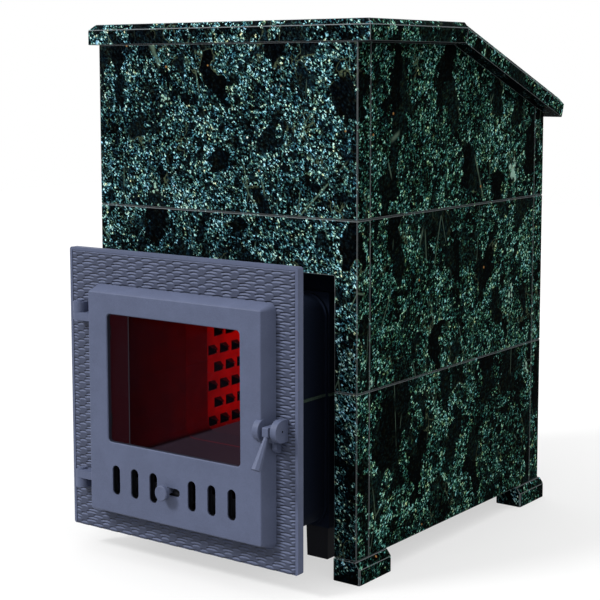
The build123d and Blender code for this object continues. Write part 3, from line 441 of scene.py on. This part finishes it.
def cast_paint(name, colour, rough=0.55, specular=0.2, grain=0.12, shade=None, mouth=False):
    """Matte heat-proof paint on cast iron, with fine sand grain and slight cloudiness."""
    t = new_tree(name)
    place = t.place()
    sand = t.noise(place, 900, 3, 0.7)
    cloud = t.noise(place, 22, 3, 0.6)
    tone = t.total(
        t.spread(sand, 0.3, 0.7, 1 - grain, 1 + grain),
        t.spread(cloud, 0.3, 0.7, -0.05, 0.05),
    )
    if shade:
        tone = shade(t, tone)
    painted = t.mix(1.0, colour, t.colour(tone, tone, tone), "MULTIPLY")
    relief = t.total(t.product(sand, 0.7), t.noise(place, 260, 2))
    inputs = {
        "Base Color": painted,
        "Metallic": 0.0,
        "Roughness": rough,
        "Specular IOR Level": specular,
        "Normal": t.bump(relief, 0.25, 0.0005),
    }
    if mouth:
        inputs.update(paint_mouth_glow_and_shade(t, painted))
    return t.principled(inputs)


# ---------------------------------------------------------------- iron round the fire
COLD_STOPS = [(0.3, (0.006, 0.009, 0.019)), (0.7, (0.012, 0.017, 0.033))]
SOOTY_STOPS = [(0.3, (0.0016, 0.0012, 0.0018)), (0.7, (0.0036, 0.003, 0.0042))]


def fire_space(t, x, y, z):
    """1 on what faces the chamber or the duct's inside, and 1 where only the chamber can be."""
    deep = t.past(y, CHAMBER_FRONT - 2 * MM, 1 * MM)
    chamber = t.product(
        t.until(t.size(x), CHAMBER_HALF - 0.2 * MM, 0.4 * MM),
        t.until(y, CHAMBER_REAR, 1 * MM),
        t.until(z, CHAMBER_TOP, 0.5 * MM),
    )
    from_side = t.maths("SUBTRACT", t.size(x), MOUTH_HALF - MOUTH_CORNER)
    from_side = t.maths("MAXIMUM", from_side, 0)
    from_top = t.maths("MAXIMUM", t.maths("SUBTRACT", z, MOUTH_TOP - MOUTH_CORNER), 0)
    squares = t.total(t.product(from_side, from_side), t.product(from_top, from_top))
    mouth = t.until(t.maths("SQRT", squares), MOUTH_CORNER + 1.5 * MM, 1 * MM)
    above = t.past(z, HEARTH_TOP - 12 * MM, 1 * MM)
    return t.product(t.blend(deep, mouth, chamber), above), deep


def hearth_iron(name):
    """Dark cast iron that glows red on the inside of the fire chamber and its mouth."""
    t = new_tree(name)
    place = t.place()
    x, y, z = t.split(t.coords["Object"])
    nx, ny, nz = t.split(t.coords["Normal"])
    hot, deep = fire_space(t, x, y, z)

    # Red light: most on the walls, more to the rear, and faint in the duct.
    wall = t.spread(t.size(nx), 0.45, 0.95)
    top_light = t.product(t.maths("MAXIMUM", nz, 0.0), 0.1)
    back_light = t.product(t.maths("MAXIMUM", ny, 0.0), 0.25)
    chamber = t.product(
        t.total(wall, top_light, back_light),
        t.spread(y, -0.1, 0.15, 0.13, 0.5, smooth=False),
        t.spread(z, HEARTH_TOP, HEARTH_TOP + 60 * MM, 0.25, 1.0),
    )
    throat = t.spread(y, MOUTH_JOINT, MOUTH_JOINT + 1 * MM, 0.0, 0.01)
    mouth = t.spread(y, MOUTH_FRONT, MOUTH_JOINT, 0.008, 0.03, smooth=False)
    mouth = t.product(wall, t.total(mouth, throat))
    # Patches of stronger and weaker painted glow.
    patchy_glow = t.spread(t.noise(place, 30, 4, 0.6), 0.3, 0.7, 0.75, 1.15)
    strength = t.product(t.blend(deep, mouth, chamber), hot, patchy_glow)

    # Grey light on the floor, with a red line at the walls' foot and one at the duct's joint.
    near_floor = t.until(z, HEARTH_TOP + 20 * MM, 10 * MM)
    flat = t.spread(nz, 0.8, 0.95)
    floor_light = t.product(flat, 0.025, hot, near_floor)
    foot = t.product(wall, t.spread(z, HEARTH_TOP + 1 * MM, HEARTH_TOP + 4 * MM, 0.14, 0))
    from_joint = t.size(t.maths("SUBTRACT", y, MOUTH_JOINT))
    seam = t.product(t.spread(from_joint, 1 * MM, 2.5 * MM, 0.1, 0), flat)
    red_lines = t.product(t.total(foot, seam), hot, near_floor)
    glow = t.colour(
        t.total(strength, floor_light, red_lines),
        t.total(t.product(strength, 0.004), t.product(floor_light, 0.6)),
        t.total(t.product(strength, 0.002), t.product(floor_light, 0.9)),
    )

    sand = t.noise(place, 700, 3, 0.7)
    return t.principled({
        "Base Color": t.mix(hot, t.ramp(sand, COLD_STOPS), t.ramp(sand, SOOTY_STOPS)),
        "Roughness": 0.6,
        "Specular IOR Level": 0.02,
        "Emission Color": glow,
        "Emission Strength": 1.0,
        "Normal": t.bump(sand, 0.3, 0.0005),
    })


# ---------------------------------------------------------------- steel, seals and glass
ALONG_Z = (1, 1, 0.05)


def steel(name, dark, light, rough, metallic):
    """Drawn or rolled steel with fine lines along it."""
    t = new_tree(name)
    streaks = t.noise(t.place(scale=ALONG_Z), 300, 3, 0.6)
    cloud = t.noise(t.place(), 40, 3)
    tone = t.total(t.product(streaks, 0.6), t.product(cloud, 0.4))
    return t.principled({
        "Base Color": t.ramp(tone, [(0.3, dark), (0.7, light)]),
        "Metallic": metallic,
        "Roughness": t.spread(streaks, 0.3, 0.7, rough - 0.06, rough + 0.08),
        "Specular IOR Level": 0.3,
        "Normal": t.bump(streaks, 0.1, 0.0003),
    })


def rope(name):
    """Braided glass-fibre rope."""
    t = new_tree(name)
    inputs = {"Vector": t.place(turn=(0.5, 0.7, 0.3)), "Scale": 260, "Distortion": 3}
    strands = t.node("TexWave", inputs, wave_type="BANDS").outputs["Fac"]
    fuzz = t.noise(t.place(), 700, 3, 0.7)
    tone = t.product(strands, t.spread(fuzz, 0.3, 0.7, 0.7, 1.1))
    return t.principled({
        "Base Color": t.ramp(tone, [(0.1, (0.05, 0.05, 0.046)), (0.9, (0.3, 0.29, 0.26))]),
        "Roughness": 0.9,
        "Specular IOR Level": 0.1,
        "Normal": t.bump(tone, 0.6, 0.0008),
    })


def cord_putty(name):
    """Heat-proof cord bedded in putty, in the seam of the firebox."""
    t = new_tree(name)
    fuzz = t.noise(t.place(), 500, 3, 0.7)
    stops = [(0.3, (0.025, 0.045, 0.035)), (0.7, (0.07, 0.105, 0.085))]
    return t.principled({
        "Base Color": t.ramp(fuzz, stops),
        "Roughness": 0.85,
        "Specular IOR Level": 0.1,
        "Normal": t.bump(fuzz, 0.5, 0.0006),
    })


def fire_glass(name):
    """Clear fire glass, faintly smoked."""
    t = new_tree(name)
    smoke = t.noise(t.place(), 8, 3)
    return t.principled({
        "Base Color": t.ramp(smoke, [(0.3, (0.004, 0.003, 0.006)), (0.7, (0.008, 0.006, 0.01))]),
        "Alpha": t.spread(smoke, 0.3, 0.7, 0.08, 0.14),
        "Roughness": 0.04,
        "Specular IOR Level": 0.01,
    })


# ---------------------------------------------------------------- which piece has which material
paint = cast_paint("blue_grey_paint", PAINT)
# Door paint, with painted shade on the cut edges of its openings.
door_paint = cast_paint("door_paint", PAINT, shade=paint_shade_in_openings)
plate_paint = cast_paint("plate_paint", PAINT, mouth=True)
# Paint on the carved field, with painted shade and highlight by slope.
carved_paint = cast_paint("carved_paint", PAINT, shade=paint_field_shade_and_highlight)
# Sooty iron that glows with painted red light round the fire.
sooty_glowing_iron = hearth_iron("hearth_iron")
cold_iron = cast_paint("black_iron", (0.004, 0.005, 0.009), 0.6, 0.1, 0.25)
roof_iron = cast_paint("roof_iron", (0.03, 0.034, 0.042), 0.5, 0.2, 0.2)
black_steel = steel("black_steel", (0.006, 0.007, 0.01), (0.016, 0.018, 0.024), 0.5, 0.0)
pin_steel = steel("pin_steel", (0.35, 0.35, 0.36), (0.55, 0.55, 0.56), 0.32, 1.0)
shaft_steel = steel("shaft_steel", (0.08, 0.08, 0.085), (0.16, 0.16, 0.165), 0.45, 0.6)

by_slot = {
    "grey_iron": paint,
    "dark_iron": cold_iron,
    "dark_steel": black_steel,
    "bright_steel": pin_steel,
    "fire_glass": fire_glass("fire_glass"),
    "rope_seal": rope("rope_seal"),
    "seam_cord": cord_putty("seam_cord"),
}
by_node = {
    "firebox_lower": sooty_glowing_iron,
    "firebox_upper": sooty_glowing_iron,
    "duct_lower": sooty_glowing_iron,
    "duct_upper": sooty_glowing_iron,
    "hearth_plate": sooty_glowing_iron,
    "smoke_baffle": sooty_glowing_iron,
    "grate": sooty_glowing_iron,
    "hatch_frame": roof_iron,
    "hatch_lid": roof_iron,
    "hatch_knob": roof_iron,
    "steam_shaft": shaft_steel,
    "frame_plate": plate_paint,
    "door_casting": door_paint,
    "hinge_pins": paint,
}


# ---------------------------------------------------------------- edges
def face_group():
    """Joins the split corners of an imported solid and shades its curved faces smooth."""
    group = bpy.data.node_groups.new("smooth_faces", "GeometryNodeTree")
    for side in ("INPUT", "OUTPUT"):
        group.interface.new_socket("Geometry", in_out=side, socket_type="NodeSocketGeometry")
    add = group.nodes.new
    start, end = add("NodeGroupInput"), add("NodeGroupOutput")
    drop = add("GeometryNodeRemoveAttribute")
    drop.inputs["Name"].default_value = "custom_normal"
    merge = add("GeometryNodeMergeByDistance")
    merge.inputs["Distance"].default_value = WELD_DISTANCE
    smooth = add("GeometryNodeSetShadeSmooth")
    crease = add("GeometryNodeSetShadeSmooth")
    crease.domain = "EDGE"
    angle = add("GeometryNodeInputMeshEdgeAngle")
    gentle = add("FunctionNodeCompare")
    gentle.operation = "LESS_THAN"
    gentle.inputs[1].default_value = SHARP_ANGLE
    join = group.links.new
    join(start.outputs[0], drop.inputs[0])
    join(drop.outputs[0], merge.inputs[0])
    join(merge.outputs[0], smooth.inputs[0])
    join(smooth.outputs[0], crease.inputs[0])
    join(angle.outputs["Unsigned Angle"], gentle.inputs[0])
    join(gentle.outputs[0], crease.inputs["Shade Smooth"])
    join(crease.outputs[0], end.inputs[0])
    return group


SMOOTH_FACES = face_group()


def bevelled(thing, width, segments, sharp):
    """Gives a piece a bevel modifier for its sharp edges."""
    bevel = thing.modifiers.new("edges", "BEVEL")
    bevel.width = width
    bevel.segments = segments
    bevel.limit_method = "ANGLE"
    bevel.angle_limit = sharp
    bevel.harden_normals = True
    return bevel


rng = np.random.default_rng(7)
for name, thing in nodes.items():
    slot_name = thing.data.materials[0].name.split(".")[0]
    thing.modifiers.new("faces", "NODES").node_group = SMOOTH_FACES
    if slot_name == "serpentine":
        offset = tuple(float(v) for v in rng.uniform(-4, 4, 3))
        thing.data.materials[0] = stone("stone_" + name, offset)
        thing.data.materials.append(stone("arris_" + name, offset, True))
        bevelled(thing, STONE_BEVEL, 1, SHARP_ANGLE).material = 1
        continue
    thing.data.materials[0] = by_node.get(name, by_slot[slot_name])
    if slot_name in IRON_BEVELS:
        bevelled(thing, IRON_BEVELS[slot_name], 2, SHARP_ANGLE)


# ---------------------------------------------------------------- carved field of the door plate
# Each dash: depth below the field's top edge, start from the rim, length, all in mm.
DASHES = [
    (4.9, 27.0, 27.5),
    (4.9, 69.7, 18.7),
    (10.4, 12.5, 18.5),
    (10.4, 45.0, 27.0),
    (15.8, 31.5, 27.5),
    (15.8, 65.5, 26.5),
]
# A dash's section, in mm: how far it bows, and where its steep and its gentle flank lie.
BOW = 1.6
STEEP_START, STEEP_WIDTH = -1.0, 1.1
GENTLE_END, GENTLE_WIDTH = 3.3, 3.0
RIM_FADE = 1.6


def dash_depth(across, down, row, start, length):
    """Depth, 0 to 1, of one gouge: steep above, gentle below, deepest near its left end."""
    along = (across - start) / length
    below = down - row + BOW * (1 - (2 * along - 1) ** 2) - BOW / 2
    steep = np.clip((below - STEEP_START) / STEEP_WIDTH, 0, 1)
    gentle = np.clip((GENTLE_END - below) / GENTLE_WIDTH, 0, 1)
    rise = np.clip(along / 0.05, 0, 1)
    fade = np.clip((1 - along) / 0.35, 0, 1) ** 0.6
    inside = (along > 0) & (along < 1)
    return np.where(inside, np.minimum(steep, gentle) * rise * fade * (1 - 0.25 * along), 0)


def field_height(x, z):
    """Height of the carved field above its ground, in metres."""
    across = (x + PLATE_HALF_WIDTH - RIM_WIDTH) / MM
    down = (PLATE_TOP - RIM_WIDTH - z) / MM
    depth = np.zeros_like(across)
    tile_x, tile_z = TILE_WIDTH / MM, TILE_HEIGHT / MM
    u, v = np.mod(across, tile_x), np.mod(down, tile_z)
    for dash in DASHES:
        for shift_u in (-tile_x, 0, tile_x):
            for shift_v in (-tile_z, 0, tile_z):
                depth = np.maximum(depth, dash_depth(u + shift_u, v + shift_v, *dash))
    wobble = np.random.default_rng(3).normal(0, 0.02, depth.shape)
    rim = np.minimum(across, 2 * (PLATE_HALF_WIDTH - RIM_WIDTH) / MM - across)
    edge = np.clip(np.minimum(rim, down) / RIM_FADE, 0, 1)
    carved = (CREST - FLOOR_HEIGHT) * (1 - np.clip(depth + wobble, 0, 1))
    return FLOOR_HEIGHT + carved * edge


def grid_lines(low, high, step, stops):
    """Grid lines from low to high, with the nearest moved onto each stop."""
    made = np.linspace(low, high, max(2, round((high - low) / step) + 1))
    for stop in stops:
        if low < stop < high:
            made[np.abs(made - stop).argmin()] = stop
    return made


def field_cells(xs, zs):
    """Which cells of the grid the field has, True or False."""
    keep = np.ones((len(xs) - 1, len(zs) - 1), bool)
    middle_x, middle_z = (xs[1:] + xs[:-1]) / 2, (zs[1:] + zs[:-1]) / 2
    for x0, x1, z0, z1 in FIELD_HOLES:
        across = (middle_x > x0) & (middle_x < x1)
        upward = (middle_z > z0) & (middle_z < z1)
        keep[np.ix_(across, upward)] = False
    return keep


def carved_field():
    """A thin closed slab over the plate's field, cut out round the door seat and the blocks."""
    inner = PLATE_HALF_WIDTH - RIM_WIDTH - FIELD_GAP
    low_z, high_z = PLATE_BOTTOM + FIELD_GAP, PLATE_TOP - RIM_WIDTH - FIELD_GAP
    stops_x = [v for hole in FIELD_HOLES for v in hole[:2]]
    stops_z = [v for hole in FIELD_HOLES for v in hole[2:]]
    xs = grid_lines(-inner, inner, FIELD_STEP_X, stops_x)
    zs = grid_lines(low_z, high_z, FIELD_STEP_Z, stops_z)
    heights = field_height(*np.meshgrid(xs, zs, indexing="ij"))
    ground = FIELD_Y - FIELD_GAP
    keep = field_cells(xs, zs)
    index, points, faces = {}, [], []

    def corner(i, j, top):
        key = (i, j, top)
        if key not in index:
            index[key] = len(points)
            points.append((xs[i], ground - (heights[i, j] if top else 0), zs[j]))
        return index[key]

    def kept(i, j):
        return 0 <= i < keep.shape[0] and 0 <= j < keep.shape[1] and keep[i, j]

    # The carved face, with a wall wherever a cell has no neighbour.
    for i, j in np.argwhere(keep):
        around = [(i, j), (i + 1, j), (i + 1, j + 1), (i, j + 1)]
        faces.append([corner(*c, 1) for c in around])
        for first, (di, dj) in ((3, (-1, 0)), (1, (1, 0)), (0, (0, -1)), (2, (0, 1))):
            if not kept(i + di, j + dj):
                p, q = around[first], around[(first + 1) % 4]
                faces.append([corner(*q, 1), corner(*p, 1), corner(*p, 0), corner(*q, 0)])
    # The back: one flat face to each run of cells between the cut-outs' levels.
    levels = sorted({0, len(zs) - 1, *(int(np.abs(zs - v).argmin()) for v in stops_z)})
    for low, high in zip(levels, levels[1:]):
        row = np.concatenate([[0], keep[:, low].astype(int), [0]])
        ends = np.flatnonzero(np.diff(row))
        for left, right in zip(ends[::2], ends[1::2]):
            around = [(i, low) for i in range(left, right)]
            around += [(right, j) for j in range(low, high)]
            around += [(i, high) for i in range(right, left, -1)]
            around += [(left, j) for j in range(high, low, -1)]
            faces.append([corner(*c, 0) for c in reversed(around)])
    mesh = bpy.data.meshes.new("carved_field")
    mesh.from_pydata(points, [], faces)
    mesh.validate()
    mesh.update()
    mesh.shade_smooth()
    thing = bpy.data.objects.new("carved_field", mesh)
    scene.collection.objects.link(thing)
    thing.data.materials.append(carved_paint)
    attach(thing, "stove")


carved_field()


# ---------------------------------------------------------------- cheeks of the latch
def cheek(name, outline, span, hole=0.0):
    """A bevelled slab across X with (y, z) corners, and a blind hole as deep as its radius, its
    walls and bottom black as painted shade.
    """
    count = len(outline)
    rings = [[(x, y, z) for y, z in outline] for x in span]
    if hole:
        shares = [hole / math.hypot(y - PIVOT_Y, z - PIVOT_Z) for y, z in outline]
        circle = [
            (PIVOT_Y + (y - PIVOT_Y) * share, PIVOT_Z + (z - PIVOT_Z) * share)
            for (y, z), share in zip(outline, shares)
        ]
        rings += [[(x, y, z) for y, z in circle] for x in (span[1], span[1] - hole)]
    faces = [list(range(count))]
    for start in range(0, count * (len(rings) - 1), count):
        for i in range(count):
            a, b = start + i, start + (i + 1) % count
            faces.append([b, a, a + count, b + count])
    last = count * (len(rings) - 1)
    faces.append([last + i for i in reversed(range(count))])

    mesh = bpy.data.meshes.new(name)
    mesh.from_pydata([point for ring in rings for point in ring], [], faces)
    mesh.materials.append(paint)
    if hole:
        # Painted shade: the hole's walls and bottom get black iron.
        mesh.materials.append(cold_iron)
        for face in mesh.polygons[-count - 1:]:
            face.material_index = 1
    mesh.validate()
    thing = bpy.data.objects.new(name, mesh)
    scene.collection.objects.link(thing)
    bevelled(thing, CHEEK_BEVEL, 3, CHEEK_SHARP_ANGLE)
    mesh.shade_smooth()
    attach(thing, "door")


def arc(y, z, radius, start, end, count):
    """Corners round a circle, from one angle to another in degrees."""
    angles = np.radians(np.linspace(start, end, count))
    return [(y + radius * math.cos(a), z + radius * math.sin(a)) for a in angles]


cheek("latch_cheek_left", arc(LEFT_CHEEK_Y, PIVOT_Z, CHEEK_RADIUS, 0, 354, 60), LEFT_CHEEK_X)
corner_y = PIVOT_Y + CHEEK_BACK - CHEEK_CORNER
corner_z = CHEEK_RADIUS + CHEEK_COVER - CHEEK_CORNER
d_shape = arc(PIVOT_Y, PIVOT_Z, CHEEK_RADIUS + CHEEK_COVER, 270, 90, 40)
d_shape += arc(corner_y, PIVOT_Z + corner_z, CHEEK_CORNER, 90, 0, 5)
d_shape += arc(corner_y, PIVOT_Z - corner_z, CHEEK_CORNER, 0, -90, 5)
cheek("latch_cheek_right", d_shape, RIGHT_CHEEK_X, PIN_HOLE)

# ---------------------------------------------------------------- floor and background
FLOOR_SIZE = 14
FLOOR_Z = -0.5 * MM
FLOOR_COLOUR = (0.3, 0.3, 0.3)
FLOOR_LIGHT = 0.58
WHITE = (1, 1, 1)
SKY_AT_HORIZON, SKY_OVERHEAD = 0.08, 1.9


def seen_directly(t):
    """1 for rays that show the white ground itself, and 0 for those that carry its light."""
    path = t.node("LightPath").outputs
    seen = t.maths("MAXIMUM", path["Is Camera Ray"], path["Is Glossy Ray"])
    return t.maths("MAXIMUM", seen, path["Is Transmission Ray"])


bpy.ops.mesh.primitive_plane_add(size=FLOOR_SIZE, location=(0, 0, FLOOR_Z))
floor = bpy.context.object
floor.name = "floor"
t = new_tree("floor")
matte = t.node("BsdfDiffuse", {"Color": FLOOR_COLOUR})
glow = {"Color": WHITE, "Strength": t.product(seen_directly(t), FLOOR_LIGHT)}
both = {0: matte.outputs[0], 1: t.node("Emission", glow).outputs[0]}
floor.data.materials.append(t.surface(t.node("AddShader", both)))

t = Tree(bpy.data.worlds.new("studio"), "ShaderNodeOutputWorld")
height = t.split(t.coords["Generated"])[2]
strength = t.spread(height, 0.0, 1.0, SKY_AT_HORIZON, SKY_OVERHEAD, smooth=False)
soft = t.node("Background", {"Color": WHITE, "Strength": strength})
plain = t.node("Background", {"Color": WHITE, "Strength": 1.0})
choice = {0: seen_directly(t), 1: soft.outputs[0], 2: plain.outputs[0]}
scene.world = t.surface(t.node("MixShader", choice))

# ---------------------------------------------------------------- light and camera
SUN_FROM = (-0.42, -0.66, 0.7)
CAMERA_PLACE = (1.78122, -2.46730, 0.92650)
YAW, PITCH, ROLL = 0.6403, 0.1156, -0.0021

sun = bpy.data.objects.new("key_light", bpy.data.lights.new("key_light", "SUN"))
sun.data.energy = 2.4
sun.data.angle = math.radians(14)
sun.rotation_euler = Vector(SUN_FROM).to_track_quat("Z", "Y").to_euler()
scene.collection.objects.link(sun)

camera = bpy.data.objects.new("camera", bpy.data.cameras.new("camera"))
scene.collection.objects.link(camera)
turn = Matrix.Rotation(YAW, 4, "Z")
turn = turn @ Matrix.Rotation(math.pi / 2 - PITCH, 4, "X") @ Matrix.Rotation(ROLL, 4, "Z")
camera.matrix_world = Matrix.Translation(CAMERA_PLACE) @ turn
camera.data.sensor_width = 36
camera.data.lens = 90.04
camera.data.shift_x = 0.0268
camera.data.shift_y = -0.09
camera.data.clip_end = 50
scene.camera = camera

scene.view_settings.view_transform = "Standard"
